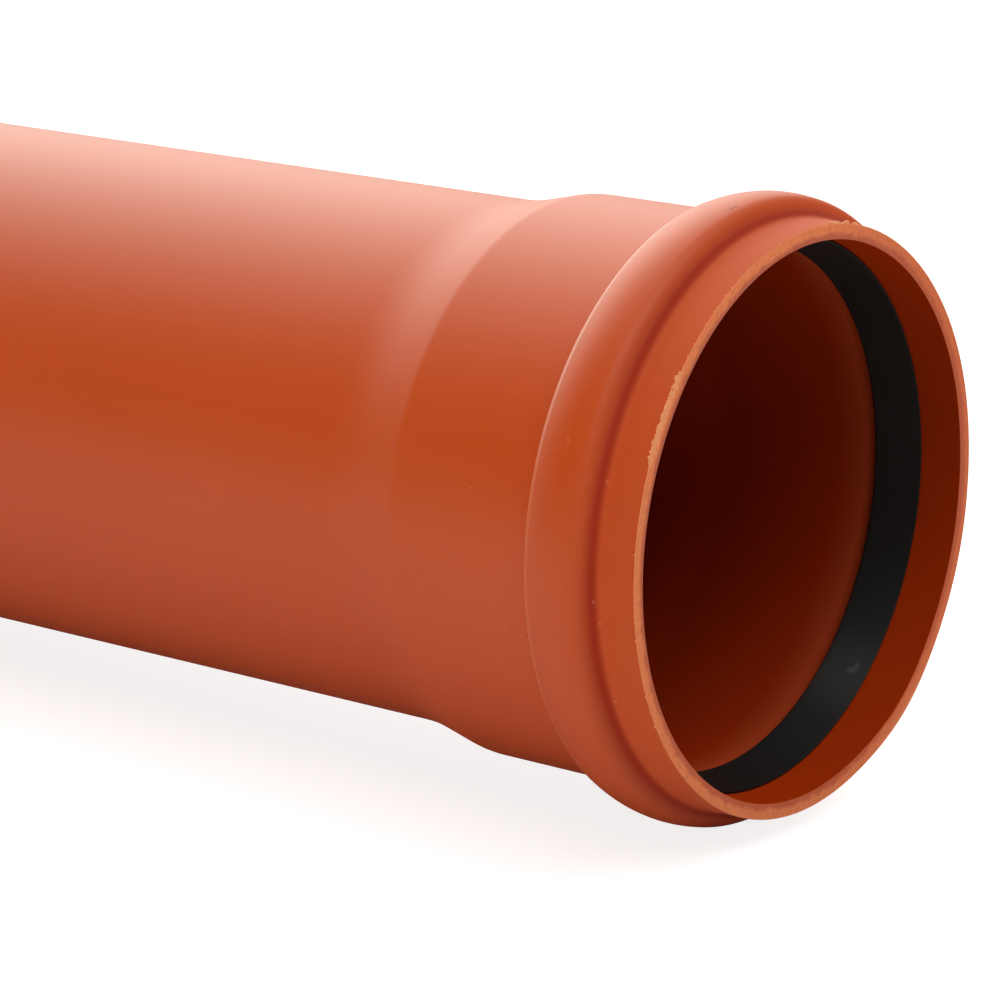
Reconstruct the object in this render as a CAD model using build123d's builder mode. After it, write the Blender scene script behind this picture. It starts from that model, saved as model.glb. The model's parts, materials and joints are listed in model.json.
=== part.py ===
from build123d import *
from math import asin, atan2, cos, radians, sin, tan
import os

# One length of rigid PVC sewer pipe with a socket formed on one end, and the rubber lip
# ring that sits in the groove of that socket.
# Every outline is drawn beside the pipe's axis. The first number of a point runs from the
# mouth of the socket into the pipe, and the second runs out from the axis.

# The stock
pipe_diameter = 110.0
wall = 3.2
laying_length = 500.0
spigot_chamfer_length = 6.0
spigot_chamfer_angle = 15.0

# The socket, which is wider than the pipe so that the next one slides in
socket_clearance = 0.4
socket_depth = 66.0
taper_length = 14.2
taper_before_stop = 6.4
taper_start_rounding = 20.0
taper_end_rounding = 50.0

# The collar at the mouth, a little wider still, with a slight bevel inside its rim
mouth_flare = 2.1
collar_length = 9.2
rim_bevel_width = 1.1
rim_bevel_depth = 0.2

# The bead behind the collar, whose inside is the groove for the ring
bead_height = 4.45
bead_length = 16.1
bead_crest_from_front = 7.0
crest_rounding = 17.0
crest_front_angle = 14.5
crest_back_angle = 24.5
bead_shoulder_rounding = 2.0
bead_foot_rounding = 2.0

# The sealing ring, whose lip the next pipe presses outwards
ring_clearance = 0.3
ring_setback = 0.6
ring_step = 0.3
ring_length = 12.4
ring_body_thickness = 3.3
lip_interference = 1.4
lip_length = 8.2
lip_thickness = 1.5
lip_root_from_front = 4.0

# Sizes that follow from those above
overall_length = socket_depth + laying_length
pipe_radius = pipe_diameter / 2
bore_radius = pipe_radius - wall
socket_bore_radius = pipe_radius + socket_clearance / 2
mouth_bore_radius = socket_bore_radius + mouth_flare / 2
socket_radius = socket_bore_radius + wall
collar_radius = mouth_bore_radius + wall
bead_radius = collar_radius + bead_height
groove_radius = bead_radius - wall
bead_crest = collar_length + bead_crest_from_front
bead_end = collar_length + bead_length
taper_start = socket_depth - taper_before_stop
taper_end = taper_start + taper_length
spigot_chamfer_start = overall_length - spigot_chamfer_length
ring_front = collar_length + ring_setback
ring_back = ring_front + ring_length
lip_radius = pipe_radius - lip_interference
lip_end = ring_front + lip_length
ring_body_radius = groove_radius - ring_clearance - ring_body_thickness

# How steeply the bead's two faces and the taper stand on the axis
crest_centre_radius = bead_radius - crest_rounding
bead_front_slope = atan2(
    crest_centre_radius + crest_rounding * cos(radians(crest_front_angle)) - collar_radius,
    bead_crest - crest_rounding * sin(radians(crest_front_angle)) - collar_length,
)
bead_back_slope = atan2(
    crest_centre_radius + crest_rounding * cos(radians(crest_back_angle)) - socket_radius,
    bead_end - bead_crest - crest_rounding * sin(radians(crest_back_angle)),
)
taper_slope = atan2(socket_radius - pipe_radius, taper_length)

# The pipe lies on its bead and on the lower edge of its plain end, so it leans a little.
lean = asin((bead_radius - pipe_radius) / (spigot_chamfer_start - bead_crest))
mouth_x = overall_length / 2 * cos(lean)
mouth_z = bead_radius * cos(lean) + bead_crest * sin(lean)
beside_axis = Plane(origin=(mouth_x, 0, mouth_z), x_dir=(-cos(lean), 0, -sin(lean)), z_dir=(0, 1, 0))
pipe_axis = Axis(beside_axis.origin, beside_axis.x_dir)


def wall_corners(depth):
    """Where the lines this deep under the outside of the bead and the taper meet."""
    crest_curve = crest_rounding - depth
    front, back = radians(crest_front_angle), radians(crest_back_angle)
    return (
        (collar_length + depth * tan(bead_front_slope / 2), collar_radius - depth),
        (bead_crest - crest_curve * sin(front), crest_centre_radius + crest_curve * cos(front)),
        (bead_crest, bead_radius - depth),
        (bead_crest + crest_curve * sin(back), crest_centre_radius + crest_curve * cos(back)),
        (bead_end - depth * tan(bead_back_slope / 2), socket_radius - depth),
        (taper_start - depth * tan(taper_slope / 2), socket_radius - depth),
        (taper_end - depth * tan(taper_slope / 2), pipe_radius - depth),
    )


def wall_line(depth):
    """The line this deep under the outside of the pipe, from the mouth to the plain end."""
    front_foot, front_shoulder, crest, back_shoulder, back_foot, taper_top, taper_foot = wall_corners(depth)
    with BuildLine(Plane.XY) as line:
        Polyline((0, collar_radius - depth), front_foot, front_shoulder)
        ThreePointArc(front_shoulder, crest, back_shoulder)
        Polyline(back_shoulder, back_foot, taper_top, taper_foot, (overall_length, pipe_radius - depth))
        for corner, rounding in (
            (front_foot, bead_foot_rounding + depth),
            (front_shoulder, bead_shoulder_rounding - depth),
            (back_shoulder, bead_shoulder_rounding - depth),
            (back_foot, bead_foot_rounding + depth),
            (taper_top, taper_start_rounding - depth),
            (taper_foot, taper_end_rounding + depth),
        ):
            if rounding > 0:
                fillet(line.vertices().sort_by_distance(corner)[0], rounding)
    return line.line


# The pipe: the wall between its outside and its bore, turned about the axis
with BuildPart() as pipe:
    with BuildSketch(beside_axis):
        with BuildLine():
            add([wall_line(0), wall_line(wall)])
            Line((0, collar_radius), (0, mouth_bore_radius))
            Line((overall_length, pipe_radius), (overall_length, bore_radius))
        make_face()
    revolve(axis=pipe_axis)
    rim, plain_end = pipe.faces().filter_by(GeomType.PLANE).sort_by(pipe_axis)
    chamfer(
        rim.edges().sort_by(SortBy.RADIUS)[0],
        length=rim_bevel_width,
        length2=rim_bevel_depth,
        reference=rim,
    )
    chamfer(
        plain_end.edges().sort_by(SortBy.RADIUS)[-1],
        length=spigot_chamfer_length,
        angle=spigot_chamfer_angle,
        reference=pipe.faces().filter_by(GeomType.CYLINDER).sort_by(SortBy.AREA)[-1],
    )
pipe.part.label = "pipe"

# The ring: a lip that leans inwards away from the mouth, on a body that fills the groove
with BuildPart() as sealing_ring:
    with BuildSketch(beside_axis):
        with BuildLine():
            Polyline(
                (ring_front, bead_radius),
                (ring_front, mouth_bore_radius - ring_step),
                (lip_end, lip_radius),
                (lip_end, lip_radius + lip_thickness),
                (ring_front + lip_root_from_front, ring_body_radius),
                (ring_back, ring_body_radius),
                (ring_back, bead_radius),
                close=True,
            )
        make_face()
        with BuildLine():
            Polyline(
                (0, 0),
                (0, mouth_bore_radius - ring_clearance),
                *wall_corners(wall + ring_clearance),
                (overall_length, 0),
                close=True,
            )
        make_face(mode=Mode.INTERSECT)
    revolve(axis=pipe_axis)
sealing_ring.part.label = "sealing_ring"

os.makedirs("parts", exist_ok=True)
export_step(pipe.part, "parts/pipe.step")
export_step(sealing_ring.part, "parts/sealing_ring.step")
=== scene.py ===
# %% [markdown]
# # Dressing a length of sewer pipe
# The object is one length of rigid PVC sewer pipe. One end is widened into a socket, with a
# bead near its mouth, and a black rubber lip ring sits in the groove inside that bead.
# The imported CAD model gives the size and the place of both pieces. This lesson makes finer
# meshes in the same place, gives them the finish of the real ones, and lights them softly.

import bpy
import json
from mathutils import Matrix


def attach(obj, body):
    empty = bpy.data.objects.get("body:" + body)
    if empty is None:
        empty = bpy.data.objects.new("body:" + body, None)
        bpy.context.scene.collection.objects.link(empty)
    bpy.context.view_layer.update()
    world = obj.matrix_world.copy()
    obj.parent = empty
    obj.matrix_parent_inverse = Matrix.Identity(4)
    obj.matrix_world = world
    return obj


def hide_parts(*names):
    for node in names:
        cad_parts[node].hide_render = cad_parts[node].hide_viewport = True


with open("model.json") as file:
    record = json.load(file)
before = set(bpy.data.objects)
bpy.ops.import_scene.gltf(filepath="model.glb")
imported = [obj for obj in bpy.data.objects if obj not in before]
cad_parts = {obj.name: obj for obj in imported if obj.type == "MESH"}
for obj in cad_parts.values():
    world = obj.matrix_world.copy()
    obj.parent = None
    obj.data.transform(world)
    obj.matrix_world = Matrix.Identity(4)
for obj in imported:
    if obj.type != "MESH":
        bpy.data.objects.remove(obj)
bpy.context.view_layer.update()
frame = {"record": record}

# %% [markdown]
# ## Working beside the axis
# Every round thing here turns about one axis, which leans a little, because the pipe lies on
# its bead. It could be modelled along X and turned afterwards as an object, but a finished
# object stays unturned, so its mesh is drawn along X and the mesh itself is then moved by one
# matrix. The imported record's socket mount says where the mouth is and which way it looks.
# In the pipe's own frame X runs from the mouth into the pipe, Y points to the near side and
# Z points up, and an angle is counted from the top towards the near side.

# %% Units and the pipe's own frame
import json
import math
import random

import bmesh
import bpy
from mathutils import Matrix, Vector, noise

MM = 0.001
mount = next(m for m in frame["record"]["mounts"] if m["name"] == "socket")
mouth = Vector(mount["pos_m"])
inward = -Vector(mount["axis"]).normalized()
near = Vector((0, -1, 0))
up = inward.cross(near)
pipe_frame = Matrix.Translation(mouth) @ Matrix((inward, near, up)).transposed().to_4x4()
print("mouth at", tuple(round(v, 4) for v in mouth), "and inward", tuple(round(v, 4) for v in inward))

# %% [markdown]
# ## Sizes
# These are the sizes of the CAD model, in millimetres. The socket is formed over a mandrel,
# so its inside fits the next pipe and its outside is one wall further out.

# %% Sizes of the pipe
pipe_radius = 55.0
wall = 3.2
overall_length = 566.0
spigot_chamfer_length = 6.0
spigot_chamfer_angle = 15.0
socket_radius = 58.4
taper_start = 59.6
taper_end = 73.8
taper_start_rounding = 20.0
taper_end_rounding = 50.0
collar_radius = 59.45
collar_length = 9.2
rim_bevel_width = 1.1
rim_bevel_depth = 0.2
bead_radius = 63.9
bead_crest = 16.2
bead_end = 25.3
bead_rounding = 2.0
crest_rounding = 17.0
crest_front_angle = math.radians(14.5)
crest_back_angle = math.radians(24.5)
bore_radius = pipe_radius - wall
mouth_bore_radius = collar_radius - wall
print("barrel", 2 * pipe_radius, "mm, socket", 2 * socket_radius, "mm, bead", 2 * bead_radius, "mm")

# %% [markdown]
# ## Where the skin is finer than the CAD model
# Warm plastic flows softly over the mandrel. The front shoulder and the foot of the bead are
# softer than in the CAD model, and the edge where the taper starts is crisper. Each end of
# the crest's arc runs on straight by a short reach before its shoulder turns. The groove's
# back stands a little further forward, so the bore's edge comes right behind the ring's lip.
# No edge of the real pipe is quite sharp, so each cut edge is broken by a tenth or two.

# %% Sizes of the softer and crisper places
soft_front_angle = math.radians(10)
soft_front_reach = 2.0
soft_shoulder_rounding = 3.0
soft_foot_rounding = 4.4
crisp_taper_rounding = 8.0
shoulder_reach = 0.75
groove_front_rounding = 0.4
groove_back_rounding = 4.0
groove_back_angle = math.radians(12)
broken_edge = 0.15
print("the front shoulder turns over", soft_shoulder_rounding, "mm")

# %% [markdown]
# ## Outlines with rounded corners
# A turned piece needs only its outline. The outline is a list of corners, each with its own
# rounding. This helper swaps a corner for a few points on the arc that touches both sides.
# A bevel modifier could round the finished mesh too, but then each edge loop would get the
# same width, while a formed socket has tight corners beside very soft ones. A tight corner
# also gets a point just beside each end of its arc, which keeps the flats shaded flat.

# %% Round the corners of an outline
ARC_TURN = math.radians(4)
TIGHT_ARC_TURN = math.radians(18)
TIGHT_ROUNDING = 1.0
SUPPORT = 0.08


def rounded(corners):
    """Points along a closed outline. Each corner is (along, radius, rounding), in millimetres."""
    points = []
    for index, (along, radius, rounding) in enumerate(corners):
        corner = Vector((along, radius))
        if rounding <= 0:
            points.append(corner)
            continue
        back = (Vector(corners[index - 1][:2]) - corner).normalized()
        forth = (Vector(corners[(index + 1) % len(corners)][:2]) - corner).normalized()
        half = back.angle(forth) / 2
        middle = corner + (back + forth).normalized() * (rounding / math.sin(half))
        start = corner + back * (rounding / math.tan(half)) - middle
        end = corner + forth * (rounding / math.tan(half)) - middle
        turn = -start.angle_signed(end)
        is_tight = rounding < TIGHT_ROUNDING
        steps = max(2, math.ceil(abs(turn) / (TIGHT_ARC_TURN if is_tight else ARC_TURN)))
        arc = [middle + Matrix.Rotation(turn * step / steps, 2) @ start for step in range(steps + 1)]
        if is_tight:
            arc = [arc[0] + back * SUPPORT, *arc, arc[-1] + forth * SUPPORT]
        points += arc
    return points


print("a square with 2 mm corners:", len(rounded([(0, 0, 2), (9, 0, 2), (9, 9, 2), (0, 9, 2)])), "points")

# %% [markdown]
# ## The wall of the pipe
# The same line serves twice, once for the outside and once for the inside, one wall deeper.
# The crest of the bead is one long arc, so its corner stands where the lines that touch the
# arc's two ends meet. A corner under the skin also moves along the pipe, by about the tangent
# of half its turn for each millimetre of depth, so the wall keeps its thickness. Only the
# groove's back moves by the whole depth, because it stands further forward.

# %% Draw the line under the outside
FOOT_SHIFT = 0.55
TAPER_SHIFT = 0.12


def wall_line(depth):
    """Corners of the line this deep under the outside, from behind the mouth to the barrel."""
    is_outside = depth == 0
    front_angle = soft_front_angle if is_outside else crest_front_angle
    front_reach = soft_front_reach if is_outside else shoulder_reach
    back_angle = crest_back_angle if is_outside else groove_back_angle
    foot_rounding = soft_foot_rounding if is_outside else groove_front_rounding
    front_rounding = soft_shoulder_rounding if is_outside else 0
    back_rounding = bead_rounding if is_outside else 0
    back_foot_rounding = bead_rounding if is_outside else groove_back_rounding
    taper_rounding = crisp_taper_rounding if is_outside else taper_start_rounding - depth
    crest_arc = crest_rounding - depth
    centre = Vector((bead_crest, bead_radius - crest_rounding))
    front = centre + crest_arc * Vector((-math.sin(front_angle), math.cos(front_angle)))
    front += front_reach * Vector((-math.cos(front_angle), -math.sin(front_angle)))
    back = centre + crest_arc * Vector((math.sin(back_angle), math.cos(back_angle)))
    back += shoulder_reach * Vector((math.cos(back_angle), -math.sin(back_angle)))
    lean = (back_angle - front_angle) / 2
    half_turn = (back_angle + front_angle) / 2
    top = centre + crest_arc / math.cos(half_turn) * Vector((math.sin(lean), math.cos(lean)))
    return [
        (collar_length + FOOT_SHIFT * depth, collar_radius - depth, foot_rounding),
        (front.x, front.y, front_rounding),
        (top.x, top.y, crest_arc),
        (back.x, back.y, back_rounding),
        (bead_end - depth, socket_radius - depth, back_foot_rounding),
        (taper_start - TAPER_SHIFT * depth, socket_radius - depth, taper_rounding),
        (taper_end - TAPER_SHIFT * depth, pipe_radius - depth, taper_end_rounding + depth),
    ]


chamfer_drop = spigot_chamfer_length * math.tan(math.radians(spigot_chamfer_angle))
pipe_outline = rounded([
    (0, mouth_bore_radius + rim_bevel_width, broken_edge),
    (0, collar_radius, broken_edge),
    *wall_line(0),
    (overall_length - spigot_chamfer_length, pipe_radius, broken_edge),
    (overall_length, pipe_radius - chamfer_drop, broken_edge),
    (overall_length, bore_radius, broken_edge),
    *reversed(wall_line(wall)),
    (rim_bevel_depth, mouth_bore_radius, broken_edge),
])
print("pipe outline:", len(pipe_outline), "points")

# %% [markdown]
# ## Turning an outline
# A spin with its ends merged turns the outline into a closed skin, as a lathe does. With 300
# steps the rim stays round close up, and each piece stays under 200,000 triangles.

# %% Turn an outline about the axis
AROUND = 300
MERGE_DISTANCE = 0.0001
SMOOTH_ANGLE = math.radians(30)


def turned(outline):
    """A closed bmesh: the outline turned about X, in metres, still in the pipe's own frame."""
    bm = bmesh.new()
    verts = [bm.verts.new((p.x * MM, 0, p.y * MM)) for p in outline]
    edges = [bm.edges.new((verts[i - 1], verts[i])) for i in range(len(verts))]
    bmesh.ops.spin(
        bm, geom=verts + edges, cent=(0, 0, 0), axis=(1, 0, 0),
        angle=math.tau, steps=AROUND, use_merge=True,
    )
    bmesh.ops.remove_doubles(bm, verts=bm.verts, dist=MERGE_DISTANCE * MM)
    bmesh.ops.recalc_face_normals(bm, faces=bm.faces)
    return bm


def finished(bm, name):
    """Moves the mesh to its place, shades it smooth and returns its object."""
    bm.transform(pipe_frame)
    mesh = bpy.data.meshes.new(name)
    bm.to_mesh(mesh)
    bm.free()
    mesh.shade_smooth()
    mesh.set_sharp_from_angle(angle=SMOOTH_ANGLE)
    piece = bpy.data.objects.new(name, mesh)
    bpy.context.scene.collection.objects.link(piece)
    print(name, "has", len(mesh.polygons), "faces")
    return piece


# %% [markdown]
# ## The pipe
# The short collar in front of the bead is not quite round. A lattice could press it, but two
# soft bulges are enough, each with its middle and its spread in degrees and its height in
# millimetres. They fade out towards the bead.

# %% Make the pipe
KNOCKS = [(-142, 14, 0.9), (-91, 18, -0.4)]
pipe_mesh = turned(pipe_outline)
for vert in pipe_mesh.verts:
    along = vert.co.x / MM
    if along < collar_length:
        angle = math.degrees(math.atan2(vert.co.y, vert.co.z))
        fade = 1 - (along / collar_length) ** 2
        bulge = 0
        for middle, spread, height in KNOCKS:
            bulge += height * math.exp(-((angle - middle) / spread) ** 2)
        vert.co += Vector((0, vert.co.y, vert.co.z)).normalized() * (bulge * fade * MM)
print("pipe mesh before its burrs:", len(pipe_mesh.faces), "faces")

# %% [markdown]
# ## Slots for the cut faces and the bore
# A saw cuts both ends, and the inside slid along a mandrel, so these faces look different from
# the skin. They are picked by where they lie and which way they look.

# %% Sort the faces
SAWN = 1
BORE = 2
TORN = 3
END_DEPTH = 0.1
CUT_LEAN = 0.5
for face in pipe_mesh.faces:
    middle = face.calc_center_median()
    along = middle.x / MM
    is_at_end = along < rim_bevel_depth + 0.02 or along > overall_length - END_DEPTH
    if is_at_end and abs(face.normal.x) > CUT_LEAN:
        face.material_index = SAWN
    elif face.normal.y * middle.y + face.normal.z * middle.z < 0:
        face.material_index = BORE
print("sawn faces:", sum(face.material_index == SAWN for face in pipe_mesh.faces))

# %% [markdown]
# ## Burrs
# The saw leaves crumbs of torn plastic on the outer edge of the rim, most of them in two
# places. Each crumb is a small ball, pushed out of shape by noise and sunk into the edge.
# A row gives the arc it covers in degrees, the number of crumbs and their size.

# %% Add the burrs
BURRS = [
    (-15, -5, 13, 0.52),
    (49, 67, 100, 0.32),
    (20, 49, 16, 0.15),
    (67, 130, 16, 0.15),
    (-60, -16, 5, 0.13),
]
BURR_GROWTH = (0.5, 1.2)
BURR_BACK = (0.2, 1.2)
BURR_OUT = (-0.7, 0.25)
CRUMPLE = 0.55
CRUMPLES_PER_MM = 2.6
RIM_GAP = 0.02


def place_on(along, radius, angle):
    """A point in the pipe's own frame, in metres, from millimetres and degrees from the top."""
    turn = math.radians(angle)
    return Vector((along, radius * math.sin(turn), radius * math.cos(turn))) * MM


pick = random.Random(4)
for first, last, count, size in BURRS:
    for number in range(count):
        angle = first + (last - first) * (number + pick.random()) / count
        grow = size * pick.uniform(*BURR_GROWTH)
        along = grow * pick.uniform(*BURR_BACK)
        spot = place_on(along, collar_radius + grow * pick.uniform(*BURR_OUT), angle)
        crumb = bmesh.ops.create_icosphere(
            pipe_mesh, subdivisions=2, radius=grow * MM, matrix=Matrix.Translation(spot),
        )["verts"]
        for vert in crumb:
            push = CRUMPLE * noise.noise(vert.co / MM * CRUMPLES_PER_MM)
            vert.co = spot + (vert.co - spot) * (1 + push)
            vert.co.x = max(vert.co.x, RIM_GAP * MM)
        for face in {face for vert in crumb for face in vert.link_faces}:
            face.material_index = TORN
pipe = finished(pipe_mesh, "pipe_skin")
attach(pipe, "root")
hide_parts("pipe")

# %% [markdown]
# ## The sealing ring
# The real ring is moulded rubber. Its lip leans inwards, away from the mouth, so that the
# next pipe presses it flat. Only its front face and the lip's tip show. Here its face stands
# nearer the mouth and its lip is longer than the CAD model's, as on the real ring. It fills
# the groove with a little clearance, so its outline starts from the wall's own line.

# %% Outline of the sealing ring
ring_front = 8.4
ring_length = 12.0
ring_clearance = 0.3
ring_step = 0.3
ring_body_radius = 57.1
ring_edge_rounding = 0.15
lip_radius = 53.5
lip_length = 11.3
lip_thickness = 1.5
lip_root_from_front = 4.0
lip_rounding = 0.4

lip_end = ring_front + lip_length
ring_back = ring_front + ring_length
foot, front_shoulder, crest, back_shoulder, back_foot = wall_line(wall + ring_clearance)[:5]
back_top = Vector(back_shoulder[:2])
back_bottom = Vector(back_foot[:2])
back_share = (ring_back - back_top.x) / (back_bottom.x - back_top.x)
back_wall = back_top.lerp(back_bottom, back_share)
ring_outline = rounded([
    (ring_front, mouth_bore_radius - ring_step, ring_edge_rounding),
    (foot[0], mouth_bore_radius - ring_step, ring_edge_rounding),
    (*front_shoulder[:2], ring_edge_rounding),
    crest,
    (back_top.x, back_top.y, ring_edge_rounding),
    (back_wall.x, back_wall.y, 0),
    (ring_back, ring_body_radius, ring_edge_rounding),
    (ring_front + lip_root_from_front, ring_body_radius, ring_edge_rounding),
    (lip_end, lip_radius + lip_thickness, lip_rounding),
    (lip_end, lip_radius, lip_rounding),
])
print("ring outline:", len(ring_outline), "points")

# %% Make the sealing ring
ring = finished(turned(ring_outline), "sealing_ring_skin")
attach(ring, "root")
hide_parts("sealing_ring")

# %% [markdown]
# ## Colours and nodes
# Colours are written as they look on a screen and turned to linear light by one function.
# One small helper adds a node, sets it and links it. Every pattern reads Object coordinates,
# turned into the pipe's own frame, so it runs along the pipe and stays put in any view. The
# size of a pattern is in millimetres, sometimes as a length over the number of marks in it,
# and its scale is one over that size. A line around the pipe is a band at one distance from
# the mouth. A texture painted on a flat map could hold it too, but would need an image.

# %% Helpers for materials
def linear(hex_colour):
    """An sRGB hex colour as linear red, green, blue and alpha."""
    channels = [int(hex_colour[i:i + 2], 16) / 255 for i in (1, 3, 5)]
    return [c / 12.92 if c <= 0.04045 else ((c + 0.055) / 1.055) ** 2.4 for c in channels] + [1.0]


def add_node(tree, kind, inputs=(), **settings):
    """Adds a node, sets its fields, and sets or links the inputs given by name or number."""
    made = tree.nodes.new(kind)
    for field, value in settings.items():
        setattr(made, field, value)
    for key, value in dict(inputs).items():
        if isinstance(value, bpy.types.NodeSocket):
            tree.links.new(value, made.inputs[key])
        else:
            made.inputs[key].default_value = value
    return made


def new_material(name):
    """A material with an empty tree, its shader and its output."""
    material = bpy.data.materials.new(name)
    material.use_nodes = True
    tree = material.node_tree
    tree.nodes.clear()
    shader = add_node(tree, "ShaderNodeBsdfPrincipled")
    add_node(tree, "ShaderNodeOutputMaterial", {"Surface": shader.outputs["BSDF"]})
    return material, tree, shader


def pipe_coordinates(tree):
    """Object coordinates in the pipe's own frame, in metres."""
    where = add_node(tree, "ShaderNodeTexCoord")
    return add_node(
        tree, "ShaderNodeMapping",
        {"Vector": where.outputs["Object"], "Location": mouth, "Rotation": pipe_frame.to_euler()},
        vector_type="TEXTURE",
    ).outputs["Vector"]


def scale_of(size):
    """The scale of a pattern, in patterns to a metre, from its size in millimetres."""
    return 1 / (size * MM)


def band(tree, along, middle, core, reach, strength):
    """A mask around one distance from the mouth, full in its core and soft out to its reach."""
    beside = add_node(tree, "ShaderNodeMath", {0: along, 1: middle * MM}, operation="SUBTRACT")
    beside = add_node(tree, "ShaderNodeMath", {0: beside.outputs["Value"]}, operation="ABSOLUTE")
    return add_node(
        tree, "ShaderNodeMapRange",
        {
            "Value": beside.outputs["Value"], "From Min": core * MM, "From Max": reach * MM,
            "To Min": strength, "To Max": 0.0,
        },
        interpolation_type="SMOOTHSTEP",
    ).outputs["Result"]


print("mid grey in linear light:", [round(c, 3) for c in linear("#808080")])

# %% [markdown]
# ## Extruded rigid PVC
# Sewer pipe is rigid PVC, extruded through a die and sized while warm. The eye sees a satin
# orange-brown with faint streaks along the pipe and soft clouds in its colour.

# %% The skin's own colour
PVC_COLOUR = "#c84c12"
PVC_DEEP = "#c0460e"
PVC_IOR = 1.53
STREAK_LENGTH = 1000 / 6
STREAK_WIDTH = 2.0
CLOUD_SIZE = 40.0
extruded_pvc, tree, shader = new_material("extruded_rigid_pvc")
shader.inputs["IOR"].default_value = PVC_IOR
place = pipe_coordinates(tree)
place_axes = add_node(tree, "ShaderNodeSeparateXYZ", {0: place})
along = place_axes.outputs["X"]
streak_scale = [scale_of(size) for size in (STREAK_LENGTH, STREAK_WIDTH, STREAK_WIDTH)]
streaks = add_node(tree, "ShaderNodeMapping", {"Vector": place, "Scale": streak_scale})
streak_noise = add_node(
    tree, "ShaderNodeTexNoise",
    {"Vector": streaks.outputs["Vector"], "Scale": 1.0, "Detail": 2.0, "Roughness": 0.5},
)
cloud_noise = add_node(
    tree, "ShaderNodeTexNoise", {"Vector": place, "Scale": scale_of(CLOUD_SIZE), "Detail": 2.0},
)
mottle = add_node(
    tree, "ShaderNodeMath",
    {0: streak_noise.outputs["Fac"], 1: cloud_noise.outputs["Fac"]}, operation="MULTIPLY",
)
colour = add_node(
    tree, "ShaderNodeMix",
    {"Factor": mottle.outputs["Value"], "A": linear(PVC_COLOUR), "B": linear(PVC_DEEP)},
    data_type="RGBA",
)
print(extruded_pvc.name, "starts with", len(tree.nodes), "nodes")

# %% [markdown]
# ## The crease and the rear edge of the bead
# Dirt stays in the crease at the foot of the bead and shade falls there, so its colour is
# partly dirt and partly painted shade, deeper and redder. A fine line along the bead's rear
# edge is a painted highlight, paler still on the upper side, where the light falls. Both are
# bands at one distance from the mouth.

# %% The crease: dirt and painted shade
# The crease's colour is partly dirt and partly painted shade in the hollow.
CREASE_DIRT_AND_SHADE_COLOUR = "#a22802"
CREASE_CORE = 0.1
CREASE_REACH = 1.6
crease = band(tree, along, collar_length, CREASE_CORE, CREASE_REACH, 1.0)
colour = add_node(
    tree, "ShaderNodeMix",
    {"Factor": crease, "A": colour.outputs["Result"], "B": linear(CREASE_DIRT_AND_SHADE_COLOUR)},
    data_type="RGBA",
)
print("the crease reaches", CREASE_REACH, "mm to each side")

# %% The painted highlight on the rear edge
REAR_EDGE = 23.3
REAR_HIGHLIGHT_CORE = 0.2
REAR_HIGHLIGHT_REACH = 0.8
REAR_HIGHLIGHT_SHARE = 0.5
# Painted highlight: a pale line on the rear edge, paler still towards the top.
REAR_HIGHLIGHT_COLOUR = "#e4804c"
TOP_HIGHLIGHT_COLOUR = "#ffcab4"
TOP_HIGHLIGHT_FROM = 15
TOP_HIGHLIGHT_TO = 42
painted_rear_highlight = band(tree, along, REAR_EDGE, REAR_HIGHLIGHT_CORE, REAR_HIGHLIGHT_REACH, REAR_HIGHLIGHT_SHARE)
highlight_on_top = add_node(
    tree, "ShaderNodeMapRange",
    {"Value": place_axes.outputs["Z"], "From Min": TOP_HIGHLIGHT_FROM * MM, "From Max": TOP_HIGHLIGHT_TO * MM},
)
rear_highlight_colour = add_node(
    tree, "ShaderNodeMix",
    {"Factor": highlight_on_top.outputs["Result"], "A": linear(REAR_HIGHLIGHT_COLOUR), "B": linear(TOP_HIGHLIGHT_COLOUR)},
    data_type="RGBA",
)
colour = add_node(
    tree, "ShaderNodeMix",
    {"Factor": painted_rear_highlight, "A": colour.outputs["Result"], "B": rear_highlight_colour.outputs["Result"]},
    data_type="RGBA",
)
print("the worn line stands", REAR_EDGE, "mm from the mouth")

# %% [markdown]
# ## Scuffs and specks
# The top of the bead has two brown scuffs, and a few pale specks of dust lie on the near side.
# Painted textures would need an image, so each mark is a soft oval around a point instead,
# and noise breaks up the scuffs. A row gives the mark's distance from the mouth, its angle
# and radius, and its half length and half width.

# %% Scuffs and specks
SCUFF_COLOUR = "#74321a"
SCUFF_GRAIN = 10 / 11
SCUFF_GAP = 0.38
SCUFF_FULL = 0.58
SCUFFS = [(19.2, 9, bead_radius, 0.3, 1.4), (13.3, 8.1, 63.6, 0.35, 1.6)]
SPECK_COLOUR = "#dc927c"
SPECK_SHARE = 0.32
SPECKS = [
    (16.2, 65.9, bead_radius, 0.35, 0.35), (8.3, 71.5, 59.7, 0.35, 0.35), (9.0, 93.7, 60.0, 0.4, 0.4),
    (8.0, 97.8, 59.6, 0.35, 0.35), (7.8, 114.4, 59.6, 0.4, 0.4), (6.0, 126.4, collar_radius, 0.35, 0.35),
    (28.5, 104.8, socket_radius, 0.3, 0.3), (32.1, 103.5, socket_radius, 0.3, 0.3),
    (40.5, 77.5, socket_radius, 0.35, 0.35),
]
MARK_CORE = 0.4
MARK_EDGE = 1.2


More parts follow.
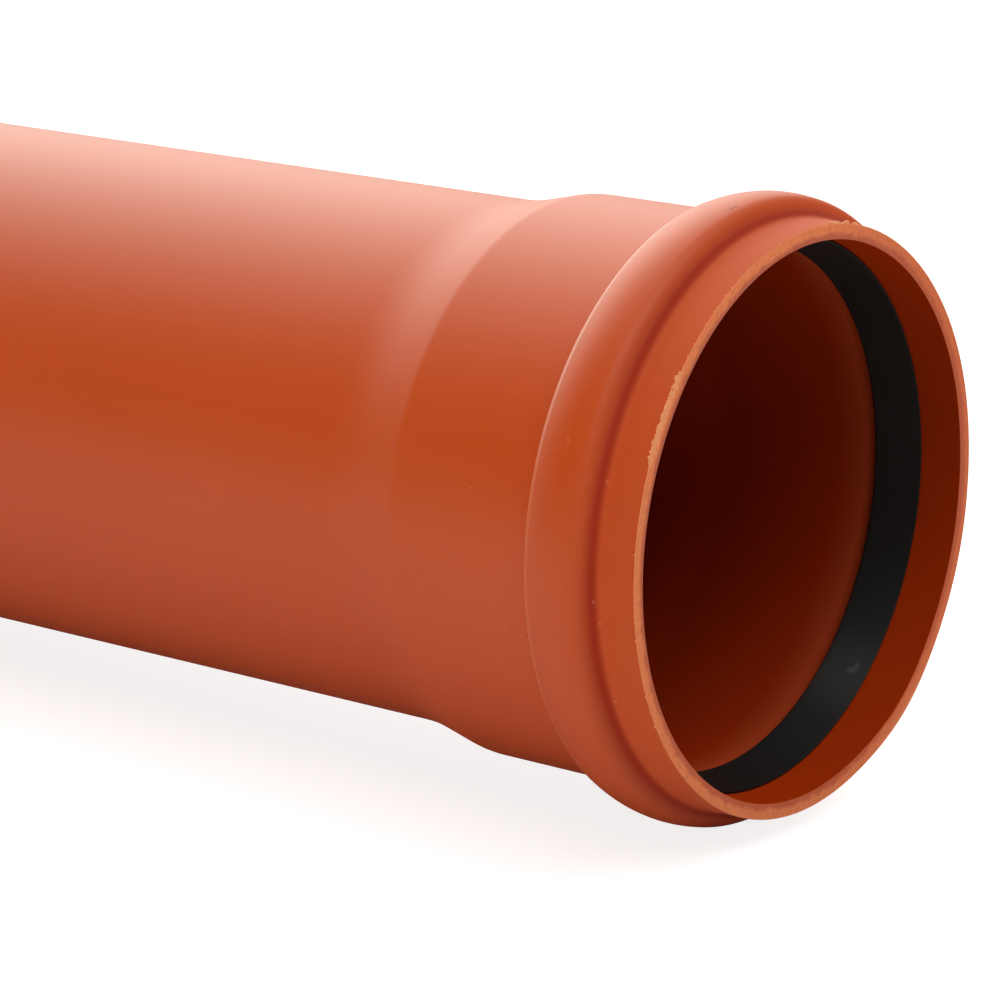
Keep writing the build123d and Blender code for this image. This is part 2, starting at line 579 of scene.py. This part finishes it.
def spots(tree, place, marks):
    """A mask of small oval marks: (along, angle, radius, half length, half width) of each."""
    mask = 0.0
    for along, angle, radius, half_length, half_width in marks:
        arm = add_node(
            tree, "ShaderNodeVectorMath",
            {0: place, 1: place_on(along, radius, angle)}, operation="SUBTRACT",
        )
        shape = [scale_of(size) for size in (half_length, half_width, half_width)]
        arm = add_node(
            tree, "ShaderNodeVectorMath", {0: arm.outputs["Vector"], 1: shape}, operation="MULTIPLY",
        )
        reach = add_node(tree, "ShaderNodeVectorMath", {0: arm.outputs["Vector"]}, operation="LENGTH")
        spot = add_node(
            tree, "ShaderNodeMapRange",
            {
                "Value": reach.outputs["Value"], "From Min": MARK_CORE, "From Max": MARK_EDGE,
                "To Min": 1.0, "To Max": 0.0,
            },
        )
        mask = add_node(
            tree, "ShaderNodeMath", {0: spot.outputs["Result"], 1: mask}, operation="MAXIMUM",
        ).outputs["Value"]
    return mask


broken = add_node(
    tree, "ShaderNodeTexNoise", {"Vector": place, "Scale": scale_of(SCUFF_GRAIN), "Detail": 1.0},
)
broken = add_node(
    tree, "ShaderNodeMapRange",
    {"Value": broken.outputs["Fac"], "From Min": SCUFF_GAP, "From Max": SCUFF_FULL},
)
scuffs = add_node(
    tree, "ShaderNodeMath", {0: spots(tree, place, SCUFFS), 1: broken.outputs["Result"]},
    operation="MULTIPLY",
)
colour = add_node(
    tree, "ShaderNodeMix",
    {"Factor": scuffs.outputs["Value"], "A": colour.outputs["Result"], "B": linear(SCUFF_COLOUR)},
    data_type="RGBA",
)
specks = add_node(
    tree, "ShaderNodeMath", {0: spots(tree, place, SPECKS), 1: SPECK_SHARE}, operation="MULTIPLY",
)
colour = add_node(
    tree, "ShaderNodeMix",
    {"Factor": specks.outputs["Value"], "A": colour.outputs["Result"], "B": linear(SPECK_COLOUR)},
    data_type="RGBA",
)
tree.links.new(colour.outputs["Result"], shader.inputs["Base Color"])
print("marks on the skin:", len(SCUFFS) + len(SPECKS))

# %% [markdown]
# ## Gloss and relief of the skin
# The calibrated skin is satin. Hands and the saw have dulled the collar, and the crease holds
# dust, so both are rougher. The relief is a slight orange peel with the die's fine streaks.
# A real peel is finer than this and would not show at this size, so it is drawn coarser.

# %% Gloss and relief of the skin
DULL_ROUGHNESS = 0.7
SATIN_ROUGHNESS = 0.42
CREASE_ROUGHENING = 0.25
DULL_UNTIL = 8
SATIN_FROM = 16
PEEL_SIZE = 10 / 7
SKIN_RELIEF = 0.02
RELIEF_STRENGTH = 0.3
handled = add_node(
    tree, "ShaderNodeMapRange",
    {
        "Value": along, "From Min": DULL_UNTIL * MM, "From Max": SATIN_FROM * MM,
        "To Min": DULL_ROUGHNESS, "To Max": SATIN_ROUGHNESS,
    },
    interpolation_type="SMOOTHSTEP",
)
handled = add_node(
    tree, "ShaderNodeMath",
    {0: crease, 1: CREASE_ROUGHENING, 2: handled.outputs["Result"]},
    operation="MULTIPLY_ADD",
)
peel_noise = add_node(
    tree, "ShaderNodeTexNoise", {"Vector": place, "Scale": scale_of(PEEL_SIZE), "Detail": 2.0},
)
relief = add_node(
    tree, "ShaderNodeMath",
    {0: peel_noise.outputs["Fac"], 1: streak_noise.outputs["Fac"]}, operation="ADD",
)
bump = add_node(
    tree, "ShaderNodeBump",
    {"Height": relief.outputs["Value"], "Strength": RELIEF_STRENGTH, "Distance": SKIN_RELIEF * MM},
)
tree.links.new(handled.outputs["Value"], shader.inputs["Roughness"])
tree.links.new(bump.outputs["Normal"], shader.inputs["Normal"])
pipe.data.materials.append(extruded_pvc)
print(extruded_pvc.name, "has", len(tree.nodes), "nodes")

# %% [markdown]
# ## Sawn PVC
# A saw cuts the pipe to length and tears the plastic a little, so a cut face is paler and
# duller than the skin. The rim is painted darker towards its far side, as painted shade. A
# knife then takes off the inner edge, which leaves a smoother and deeper band with a ragged
# border. The noise that makes it ragged is a half on average, so the border is moved out by
# half its depth.

# %% The cut face and its scraped band
SAWN_COLOUR = "#ee8046"
# Painted shade: the cut face darkens towards the rim's far side.
FAR_SIDE_SHADE_COLOUR = "#d9672f"
SCRAPED_COLOUR = "#c4542a"
SAWN_ROUGHNESS = 0.6
RAGGED_SIZE = 100 / 26
RAGGED_DEPTH = 2.4
BAND_FADES_FROM = -0.5
BAND_FADES_TO = 0.7
FAR_SHADE_FROM = -50
FAR_SHADE_TO = 10
sawn_pvc, tree, shader = new_material("sawn_rigid_pvc")
shader.inputs["IOR"].default_value = PVC_IOR
shader.inputs["Roughness"].default_value = SAWN_ROUGHNESS
place = pipe_coordinates(tree)
side = add_node(tree, "ShaderNodeSeparateXYZ", {0: place})
across = add_node(
    tree, "ShaderNodeVectorMath", {0: place, 1: (0, 1, 1)}, operation="MULTIPLY",
)
radius = add_node(tree, "ShaderNodeVectorMath", {0: across.outputs["Vector"]}, operation="LENGTH")
ragged = add_node(
    tree, "ShaderNodeTexNoise", {"Vector": place, "Scale": scale_of(RAGGED_SIZE), "Detail": 3.0},
)
ragged_radius = add_node(
    tree, "ShaderNodeMath",
    {0: ragged.outputs["Fac"], 1: RAGGED_DEPTH * MM, 2: radius.outputs["Value"]},
    operation="MULTIPLY_ADD",
)
band_edge = mouth_bore_radius + rim_bevel_width
ragged_edge = band_edge + RAGGED_DEPTH / 2
outer_band = add_node(
    tree, "ShaderNodeMapRange",
    {
        "Value": ragged_radius.outputs["Value"],
        "From Min": (ragged_edge + BAND_FADES_FROM) * MM,
        "From Max": (ragged_edge + BAND_FADES_TO) * MM,
    },
    interpolation_type="SMOOTHSTEP",
)
far_side_shade = add_node(
    tree, "ShaderNodeMapRange",
    {
        "Value": side.outputs["Y"], "From Min": FAR_SHADE_FROM * MM, "From Max": FAR_SHADE_TO * MM,
        "To Min": 1.0, "To Max": 0.0,
    },
    interpolation_type="SMOOTHSTEP",
)
colour = add_node(
    tree, "ShaderNodeMix",
    {"Factor": far_side_shade.outputs["Result"], "A": linear(SAWN_COLOUR), "B": linear(FAR_SIDE_SHADE_COLOUR)},
    data_type="RGBA",
)
colour = add_node(
    tree, "ShaderNodeMix",
    {"Factor": outer_band.outputs["Result"], "A": linear(SCRAPED_COLOUR), "B": colour.outputs["Result"]},
    data_type="RGBA",
)
print("the scraped band ends about", round(band_edge, 2), "mm from the axis")

# %% [markdown]
# ## Blotches and the pale outer edge
# The saw's teeth leave small blotches. Where they come out of the plastic it turns pale, and
# the rim's outer edge also catches the light, so its pale gritty line is partly torn plastic
# and partly a painted highlight. It is widest around one place on the upper near side, where
# most of the crumbs sit, and painted fainter towards the bottom, where less light falls. The
# real tearing is finer than this and would not show, so its grain is drawn coarser.

# %% Blotches and the pale outer edge, partly a painted highlight
BLOTCH_COLOUR = "#b04a22"
BLOTCH_SIZE = 100 / 76
BLOTCH_GAP = 0.46
BLOTCH_FULL = 0.72
BLOTCH_SHARE = 0.4
TORN_EDGE_AND_HIGHLIGHT_COLOUR = "#f79c66"
GRIT_SIZE = 10 / 13
GRIT_REACH = 1.4
EDGE_SOFTNESS = 0.3
CRUST_ANGLE = 58
CRUST_CORE = 7
CRUST_REACH = 11
CRUST_WIDE = 1.6
CRUST_NARROW = 0.4
FAINT_BELOW = -40
STRONG_ABOVE = 10
FAINT_SHARE = 0.25
STRONG_SHARE = 0.8
TEAR_SIZE = 10 / 18
TEAR_DEPTH = 0.08
TEAR_STRENGTH = 0.8
blotch = add_node(
    tree, "ShaderNodeTexNoise",
    {"Vector": place, "Scale": scale_of(BLOTCH_SIZE), "Detail": 4.0, "Roughness": 0.7},
)
blotch = add_node(
    tree, "ShaderNodeMapRange",
    {
        "Value": blotch.outputs["Fac"], "From Min": BLOTCH_GAP, "From Max": BLOTCH_FULL,
        "To Min": 0.0, "To Max": BLOTCH_SHARE,
    },
)
colour = add_node(
    tree, "ShaderNodeMix",
    {"Factor": blotch.outputs["Result"], "A": colour.outputs["Result"], "B": linear(BLOTCH_COLOUR)},
    data_type="RGBA",
)
crust = add_node(
    tree, "ShaderNodeVectorMath",
    {0: place, 1: place_on(0, collar_radius, CRUST_ANGLE)}, operation="DISTANCE",
)
crust = add_node(
    tree, "ShaderNodeMapRange",
    {
        "Value": crust.outputs["Value"], "From Min": CRUST_CORE * MM, "From Max": CRUST_REACH * MM,
        "To Min": CRUST_WIDE * MM, "To Max": CRUST_NARROW * MM,
    },
)
grit = add_node(
    tree, "ShaderNodeTexNoise", {"Vector": place, "Scale": scale_of(GRIT_SIZE), "Detail": 2.0},
)
crust = add_node(
    tree, "ShaderNodeMath",
    {0: crust.outputs["Result"], 1: grit.outputs["Fac"]}, operation="MULTIPLY",
)
crust = add_node(
    tree, "ShaderNodeMath",
    {0: crust.outputs["Value"], 1: GRIT_REACH, 2: radius.outputs["Value"]}, operation="MULTIPLY_ADD",
)
edge = add_node(
    tree, "ShaderNodeMapRange",
    {
        "Value": crust.outputs["Value"],
        "From Min": collar_radius * MM, "From Max": (collar_radius + EDGE_SOFTNESS) * MM,
    },
)
# Painted highlight: the pale edge is strong on top and faint at the bottom.
rim_highlight_on_top = add_node(
    tree, "ShaderNodeMapRange",
    {
        "Value": side.outputs["Z"], "From Min": FAINT_BELOW * MM, "From Max": STRONG_ABOVE * MM,
        "To Min": FAINT_SHARE, "To Max": STRONG_SHARE,
    },
)
edge = add_node(
    tree, "ShaderNodeMath", {0: edge.outputs["Result"], 1: rim_highlight_on_top.outputs["Result"]}, operation="MULTIPLY",
)
colour = add_node(
    tree, "ShaderNodeMix",
    {"Factor": edge.outputs["Value"], "A": colour.outputs["Result"], "B": linear(TORN_EDGE_AND_HIGHLIGHT_COLOUR)},
    data_type="RGBA",
)
tear = add_node(
    tree, "ShaderNodeTexNoise", {"Vector": place, "Scale": scale_of(TEAR_SIZE), "Detail": 3.0},
)
bump = add_node(
    tree, "ShaderNodeBump",
    {"Height": tear.outputs["Fac"], "Strength": TEAR_STRENGTH, "Distance": TEAR_DEPTH * MM},
)
tree.links.new(bump.outputs["Normal"], shader.inputs["Normal"])
tree.links.new(colour.outputs["Result"], shader.inputs["Base Color"])
pipe.data.materials.append(sawn_pvc)
print(sawn_pvc.name, "has", len(tree.nodes), "nodes")

# %% [markdown]
# ## The formed bore
# The inside slides along the mandrel. From behind the ring to the end of the socket its
# colour is painted deeper as shade inside the socket, and the painted shade fades out further
# in. A paler band just behind the ring is painted light on the wall there. The eye sees a
# matt red-brown with no mirror in it, so its gloss is set to nothing.

# %% The formed bore
BORE_COLOUR = "#ac360a"
BORE_SHADE_COLOUR = "#9c2e09"
BORE_LIT_BAND_COLOUR = "#ae4c2c"
BORE_ROUGHNESS = 0.7
SHADE_FROM, SHADE_TO = 9, 34
SHADE_LEAST, SHADE_MOST = 0.1, 0.9
SHADE_FADES_FROM, SHADE_FADES_TO = 62, 100
SHADE_FADE_SHARE = 0.8
SHADE_CLOUD_SIZE = 100 / 3
SHADE_CLOUD_SHARE = 0.3
LIT_BAND_MIDDLE = 22
LIT_BAND_CORE = 1
LIT_BAND_REACH = 9
LIT_BAND_SHARE = 0.5
DRAG_LENGTH = 125.0
DRAG_WIDTH = 2.5
formed_bore, tree, shader = new_material("formed_rigid_pvc_bore")
shader.inputs["Roughness"].default_value = BORE_ROUGHNESS
shader.inputs["IOR"].default_value = PVC_IOR
shader.inputs["Specular IOR Level"].default_value = 0.0
place = pipe_coordinates(tree)
along = add_node(tree, "ShaderNodeSeparateXYZ", {0: place}).outputs["X"]
# Painted shade inside the socket, fading out further in.
socket_shade = add_node(
    tree, "ShaderNodeMapRange",
    {
        "Value": along, "From Min": SHADE_FROM * MM, "From Max": SHADE_TO * MM,
        "To Min": SHADE_LEAST, "To Max": SHADE_MOST,
    },
    interpolation_type="SMOOTHSTEP",
)
shade_fades = add_node(
    tree, "ShaderNodeMapRange",
    {
        "Value": along, "From Min": SHADE_FADES_FROM * MM, "From Max": SHADE_FADES_TO * MM,
        "To Min": 0.0, "To Max": -SHADE_FADE_SHARE,
    },
    interpolation_type="SMOOTHSTEP",
)
painted_socket_shade = add_node(
    tree, "ShaderNodeMath", {0: socket_shade.outputs["Result"], 1: shade_fades.outputs["Result"]}, operation="ADD",
)
clouds = add_node(
    tree, "ShaderNodeTexNoise", {"Vector": place, "Scale": scale_of(SHADE_CLOUD_SIZE), "Detail": 3.0},
)
painted_socket_shade = add_node(
    tree, "ShaderNodeMath",
    {0: clouds.outputs["Fac"], 1: SHADE_CLOUD_SHARE, 2: painted_socket_shade.outputs["Value"]},
    operation="MULTIPLY_ADD", use_clamp=True,
)
colour = add_node(
    tree, "ShaderNodeMix",
    {"Factor": painted_socket_shade.outputs["Value"], "A": linear(BORE_COLOUR), "B": linear(BORE_SHADE_COLOUR)},
    data_type="RGBA",
)
# A painted band of light on the wall just behind the ring.
painted_lit_band = band(tree, along, LIT_BAND_MIDDLE, LIT_BAND_CORE, LIT_BAND_REACH, LIT_BAND_SHARE)
colour = add_node(
    tree, "ShaderNodeMix",
    {"Factor": painted_lit_band, "A": colour.outputs["Result"], "B": linear(BORE_LIT_BAND_COLOUR)},
    data_type="RGBA",
)
drag_scale = [scale_of(size) for size in (DRAG_LENGTH, DRAG_WIDTH, DRAG_WIDTH)]
drag = add_node(tree, "ShaderNodeMapping", {"Vector": place, "Scale": drag_scale})
drag = add_node(
    tree, "ShaderNodeTexNoise", {"Vector": drag.outputs["Vector"], "Scale": 1.0, "Detail": 2.0},
)
bump = add_node(
    tree, "ShaderNodeBump",
    {"Height": drag.outputs["Fac"], "Strength": RELIEF_STRENGTH, "Distance": SKIN_RELIEF * MM},
)
tree.links.new(bump.outputs["Normal"], shader.inputs["Normal"])
tree.links.new(colour.outputs["Result"], shader.inputs["Base Color"])
pipe.data.materials.append(formed_bore)
print(formed_bore.name, "has", len(tree.nodes), "nodes")

# %% [markdown]
# ## Torn PVC
# A crumb of torn plastic is full of tiny cracks that scatter the light, so it is the palest
# finish here. Noise of about a millimetre lets one crumb differ from the next.

# %% Torn PVC
TORN_COLOUR = "#e07a3e"
TORN_WHITENED = "#ffb47c"
TORN_ROUGHNESS = 0.5
CRUMB_PATCH = 10 / 9
torn_pvc, tree, shader = new_material("torn_rigid_pvc")
shader.inputs["Roughness"].default_value = TORN_ROUGHNESS
shader.inputs["IOR"].default_value = PVC_IOR
place = pipe_coordinates(tree)
whitened = add_node(
    tree, "ShaderNodeTexNoise", {"Vector": place, "Scale": scale_of(CRUMB_PATCH), "Detail": 2.0},
)
colour = add_node(
    tree, "ShaderNodeMix",
    {"Factor": whitened.outputs["Fac"], "A": linear(TORN_COLOUR), "B": linear(TORN_WHITENED)},
    data_type="RGBA",
)
tree.links.new(colour.outputs["Result"], shader.inputs["Base Color"])
pipe.data.materials.append(torn_pvc)
print(torn_pvc.name, "has", len(tree.nodes), "nodes")

# %% [markdown]
# ## Moulded rubber
# The ring is synthetic rubber, moulded and then dusted, so it is black with a dull sheen. A
# grey patch at the lower far side is a painted sheen, and it has three faint chalky marks.
# The mould's grain is too fine to show at this size, so it is drawn coarser.

# %% Moulded rubber
RUBBER_COLOUR = "#040706"
RUBBER_BLOOM = "#080c0a"
RUBBER_ROUGHNESS = 0.6
RUBBER_IOR = 1.5
RUBBER_GLOSS = 0.4
BLOOM_SIZE = 100 / 12
RING_SHEEN_COLOUR = "#2a2b29"
RING_SHEEN_PLACE = (14, 55, -140)
RING_SHEEN_CORE = 1
RING_SHEEN_REACH = 14
RING_SHEEN_SHARE = 0.8
CHALK_COLOUR = "#8a8c88"
CHALK_SHARE = 0.14
CHALK = [(13.0, -139, 55.0, 1.4, 0.8), (12.4, -137.8, 55.1, 0.7, 1.1), (9.0, -70, 56, 0.5, 0.35)]
GRAIN_SIZE = 10 / 15
moulded_rubber, tree, shader = new_material("moulded_rubber")
shader.inputs["Roughness"].default_value = RUBBER_ROUGHNESS
shader.inputs["IOR"].default_value = RUBBER_IOR
shader.inputs["Specular IOR Level"].default_value = RUBBER_GLOSS
place = pipe_coordinates(tree)
bloom = add_node(
    tree, "ShaderNodeTexNoise", {"Vector": place, "Scale": scale_of(BLOOM_SIZE), "Detail": 3.0},
)
colour = add_node(
    tree, "ShaderNodeMix",
    {"Factor": bloom.outputs["Fac"], "A": linear(RUBBER_COLOUR), "B": linear(RUBBER_BLOOM)},
    data_type="RGBA",
)
# A painted sheen: a grey patch at the lower far side of the ring.
painted_ring_sheen = add_node(
    tree, "ShaderNodeVectorMath", {0: place, 1: place_on(*RING_SHEEN_PLACE)}, operation="DISTANCE",
)
painted_ring_sheen = add_node(
    tree, "ShaderNodeMapRange",
    {
        "Value": painted_ring_sheen.outputs["Value"],
        "From Min": RING_SHEEN_CORE * MM, "From Max": RING_SHEEN_REACH * MM,
        "To Min": RING_SHEEN_SHARE, "To Max": 0.0,
    },
    interpolation_type="SMOOTHSTEP",
)
colour = add_node(
    tree, "ShaderNodeMix",
    {"Factor": painted_ring_sheen.outputs["Result"], "A": colour.outputs["Result"], "B": linear(RING_SHEEN_COLOUR)},
    data_type="RGBA",
)
chalk = add_node(
    tree, "ShaderNodeMath", {0: spots(tree, place, CHALK), 1: CHALK_SHARE}, operation="MULTIPLY",
)
colour = add_node(
    tree, "ShaderNodeMix",
    {"Factor": chalk.outputs["Value"], "A": colour.outputs["Result"], "B": linear(CHALK_COLOUR)},
    data_type="RGBA",
)
grain = add_node(
    tree, "ShaderNodeTexNoise", {"Vector": place, "Scale": scale_of(GRAIN_SIZE), "Detail": 2.0},
)
bump = add_node(
    tree, "ShaderNodeBump",
    {"Height": grain.outputs["Fac"], "Strength": RELIEF_STRENGTH, "Distance": SKIN_RELIEF * MM},
)
tree.links.new(bump.outputs["Normal"], shader.inputs["Normal"])
tree.links.new(colour.outputs["Result"], shader.inputs["Base Color"])
ring.data.materials.append(moulded_rubber)
print(moulded_rubber.name, "has", len(tree.nodes), "nodes")

# %% [markdown]
# ## Floor
# The floor is a plain pale sheet. To the camera it glows a little by itself, so the ground
# comes out white without more light on the pipe. The rest of what the camera sees is lit by
# the lamps, so the floor keeps the pipe's shadow. Only camera rays see the glow, because
# nothing here is metal or glass that would have to mirror a white ground.

# %% Make the floor
FLOOR_COLOUR = "#dedede"
FLOOR_HALF_SIZE = 15
GLOW_STRENGTH = 2.05
GLOW_SHARE = 0.4
floor_mesh = bpy.data.meshes.new("floor")
bm = bmesh.new()
bmesh.ops.create_grid(bm, x_segments=1, y_segments=1, size=FLOOR_HALF_SIZE)
bm.to_mesh(floor_mesh)
bm.free()
floor = bpy.data.objects.new("floor", floor_mesh)
bpy.context.scene.collection.objects.link(floor)

pale_floor = bpy.data.materials.new("pale_floor")
pale_floor.use_nodes = True
tree = pale_floor.node_tree
tree.nodes.clear()
matt = add_node(tree, "ShaderNodeBsdfDiffuse", {"Color": linear(FLOOR_COLOUR)})
glow = add_node(tree, "ShaderNodeEmission", {"Color": linear("#ffffff"), "Strength": GLOW_STRENGTH})
path = add_node(tree, "ShaderNodeLightPath")
share = add_node(
    tree, "ShaderNodeMath", {0: path.outputs["Is Camera Ray"], 1: GLOW_SHARE}, operation="MULTIPLY",
)
mixed = add_node(
    tree, "ShaderNodeMixShader",
    {0: share.outputs["Value"], 1: matt.outputs["BSDF"], 2: glow.outputs["Emission"]},
)
add_node(tree, "ShaderNodeOutputMaterial", {"Surface": mixed.outputs["Shader"]})
floor_mesh.materials.append(pale_floor)
print("floor is", round(floor.dimensions.x, 2), "m wide")

# %% [markdown]
# ## Lamps
# One large softbox hangs high in front of the mouth. A weaker one stands behind at the right
# and lights the rim, and a low one at the near side fills the shade under the pipe. These two
# are hidden from gloss, so that no hard square shines on the skin. A row gives the lamp's
# place and the point it is aimed at, in metres, its width and height, and its power in watts.

# %% Softboxes
SOFTBOXES = [
    ("overhead_softbox", (0.88, -0.16, 1.28), (0.284, 0.0, 0.06), 1.7, 1.0, 13, True),
    ("rear_softbox", (1.24, 1.2, 0.55), (0.28, 0.0, 0.06), 0.7, 0.7, 5.5, False),
    ("near_softbox", (-0.05, -1.9, 0.24), (0.1, 0.0, 0.06), 0.6, 0.42, 11.5, False),
]
for name, stand, aim, width, height, watts, shows_in_gloss in SOFTBOXES:
    lamp = bpy.data.lights.new(name, "AREA")
    lamp.shape = "RECTANGLE"
    lamp.size = width
    lamp.size_y = height
    lamp.energy = watts
    softbox = bpy.data.objects.new(name, lamp)
    softbox.location = stand
    softbox.rotation_euler = (Vector(aim) - Vector(stand)).to_track_quat("-Z", "Y").to_euler()
    softbox.visible_glossy = shows_in_gloss
    bpy.context.scene.collection.objects.link(softbox)
    print(name, "gives", watts, "W")

# %% [markdown]
# ## The world
# The broad sheen along the top of the pipe comes from the world, which is bright towards one
# side, high behind the pipe at the left, and nearly dark elsewhere. A big lamp could do this
# too, but its edges would show in the satin skin. Its light is a little warm, written in
# linear light as lamps are. The camera sees the world plain white.

# %% The world
BRIGHT_SIDE = Vector((-0.74, 0.45, 0.5)).normalized()
LOBE_START = 0.4
LOBE_POWER = 2.5
LOBE_LEVEL = 3.6
ROOM_LEVEL = 0.03
ROOM_LIGHT = (1.0, 0.99, 0.88, 1.0)
world = bpy.data.worlds.new("studio")
bpy.context.scene.world = world
world.use_nodes = True
tree = world.node_tree
tree.nodes.clear()
direction = add_node(tree, "ShaderNodeTexCoord")
facing = add_node(
    tree, "ShaderNodeVectorMath",
    {0: direction.outputs["Generated"], 1: BRIGHT_SIDE}, operation="DOT_PRODUCT",
)
lobe = add_node(
    tree, "ShaderNodeMapRange", {"Value": facing.outputs["Value"], "From Min": LOBE_START, "From Max": 1.0},
)
lobe = add_node(tree, "ShaderNodeMath", {0: lobe.outputs["Result"], 1: LOBE_POWER}, operation="POWER")
level = add_node(
    tree, "ShaderNodeMath", {0: lobe.outputs["Value"], 1: LOBE_LEVEL, 2: ROOM_LEVEL},
    operation="MULTIPLY_ADD",
)
path = add_node(tree, "ShaderNodeLightPath")
room = add_node(
    tree, "ShaderNodeBackground", {"Color": ROOM_LIGHT, "Strength": level.outputs["Value"]},
)
white = add_node(tree, "ShaderNodeBackground", {"Color": linear("#ffffff"), "Strength": 1.0})
seen = add_node(
    tree, "ShaderNodeMixShader",
    {0: path.outputs["Is Camera Ray"], 1: room.outputs["Background"], 2: white.outputs["Background"]},
)
add_node(tree, "ShaderNodeOutputWorld", {"Surface": seen.outputs["Shader"]})
print("the world is brightest towards", tuple(round(v, 2) for v in BRIGHT_SIDE))

# %% [markdown]
# ## Camera
# The camera stands where the photographer's did, in front of the mouth and a little above.
# Its place and its axes were worked out from the ellipses of the mouth and the barrel's edges.

# %% Place the camera
camera_place = Vector((0.73096, -0.68605, 0.29410))
view_forward = Vector((-0.585856, 0.765316, -0.266574))
view_up = Vector((-0.172706, 0.203479, 0.963733))
camera_data = bpy.data.cameras.new("camera")
camera_data.sensor_width = 36.0
camera_data.lens = 155.16
camera = bpy.data.objects.new("camera", camera_data)
view_right = view_forward.cross(view_up).normalized()
true_up = view_right.cross(view_forward).normalized()
axes = Matrix((view_right, true_up, -view_forward.normalized())).transposed().to_4x4()
camera.matrix_world = Matrix.Translation(camera_place) @ axes
bpy.context.scene.collection.objects.link(camera)
bpy.context.scene.camera = camera
bpy.context.scene.view_settings.view_transform = "Standard"
print("the camera stands", round((camera_place - mouth).length, 2), "m from the mouth")
